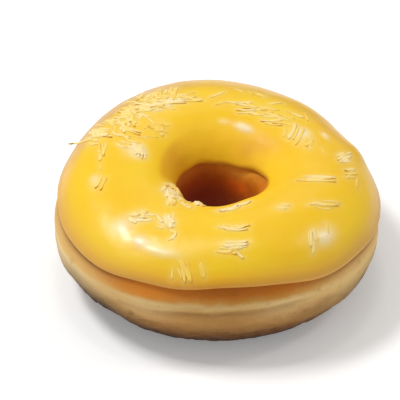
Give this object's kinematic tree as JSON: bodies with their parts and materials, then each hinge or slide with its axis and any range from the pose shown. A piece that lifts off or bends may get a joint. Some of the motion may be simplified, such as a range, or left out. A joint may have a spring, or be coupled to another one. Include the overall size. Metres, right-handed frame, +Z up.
{
  "type": "iced ring doughnut",
  "caption": "Soft yeast-raised ring doughnut with a browned side, a pale band, glossy yellow icing over the top and pale shreds scattered on the icing.",
  "frame": {"origin": "the middle of the whole object's outline in plan, on the surface it rests on", "axes": "+Z up through the hole; the side the picture is taken from faces -Y, with +X to its right"},
  "size_m": [0.0922, 0.0922, 0.0368],
  "materials": {
    "dough_crust": "soft fried crust, browned under the icing and pale along the middle",
    "yellow_icing": "glossy set icing with pale shreds"
  },
  "bodies": {
    "root": {"dough_ring": "dough_crust", "icing": "yellow_icing"}
  },
  "joints": []
}
